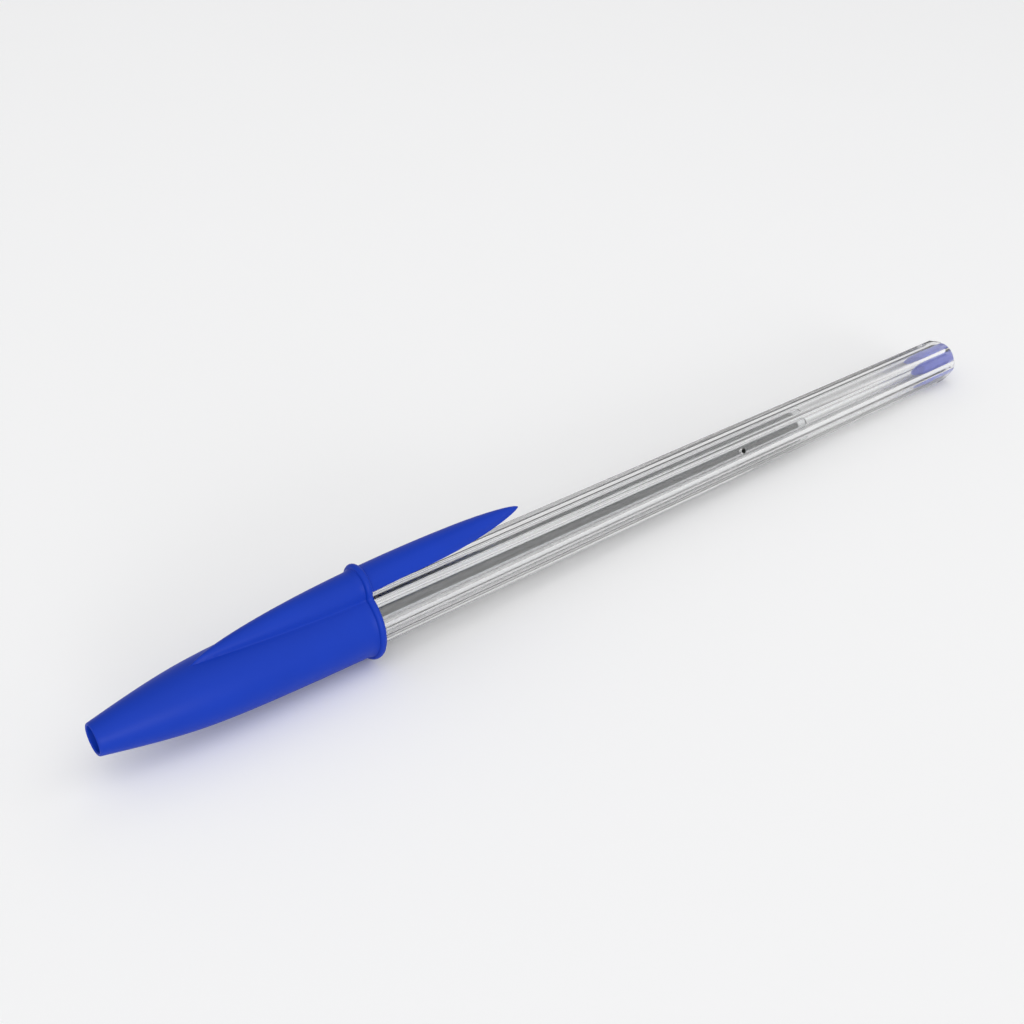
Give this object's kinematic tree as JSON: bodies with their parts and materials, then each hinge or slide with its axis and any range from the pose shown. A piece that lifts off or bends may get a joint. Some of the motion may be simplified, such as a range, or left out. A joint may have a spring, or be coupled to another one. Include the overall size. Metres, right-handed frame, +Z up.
{
  "type": "stick ballpoint pen",
  "caption": "Stick ballpoint pen with a clear six-sided barrel, a plug in the tail, an ink tube and brass point inside, and a vented push-on cap with a flange and a pocket clip.",
  "frame": {"origin": "under the middle of the capped pen, level with the lowest point of the cap's flange", "axes": "+X along the pen from the cap's nose to the barrel's tail, +Z up through the clip, +Y to the left of +X"},
  "size_m": [0.15, 0.0098, 0.012],
  "materials": {
    "clear_barrel": "clear polished",
    "plug_blue": "translucent",
    "cone_blue": "satin",
    "tube_clear": "clear",
    "ink_dark": "wet",
    "point_brass": "turned",
    "ball_metal": "polished",
    "cap_blue": "satin"
  },
  "bodies": {
    "barrel": {"barrel": "clear_barrel", "end_plug": "plug_blue", "nose_cone": "cone_blue", "ink_tube": "tube_clear", "ink_column": "ink_dark", "point_socket": "point_brass"},
    "cap": {"cap": "cap_blue"},
    "ball": {"point_ball": "ball_metal"}
  },
  "joints": [
    {"name": "cap_pull", "type": "slide", "parent": "barrel", "child": "cap", "axis": [-1, 0, 0], "range_m": [0, 0.052]},
    {"name": "ball_roll", "type": "hinge", "parent": "barrel", "child": "ball", "pos_m": [-0.06645, 0, 0.00486], "axis": [0, 1, 0], "continuous": true}
  ]
}
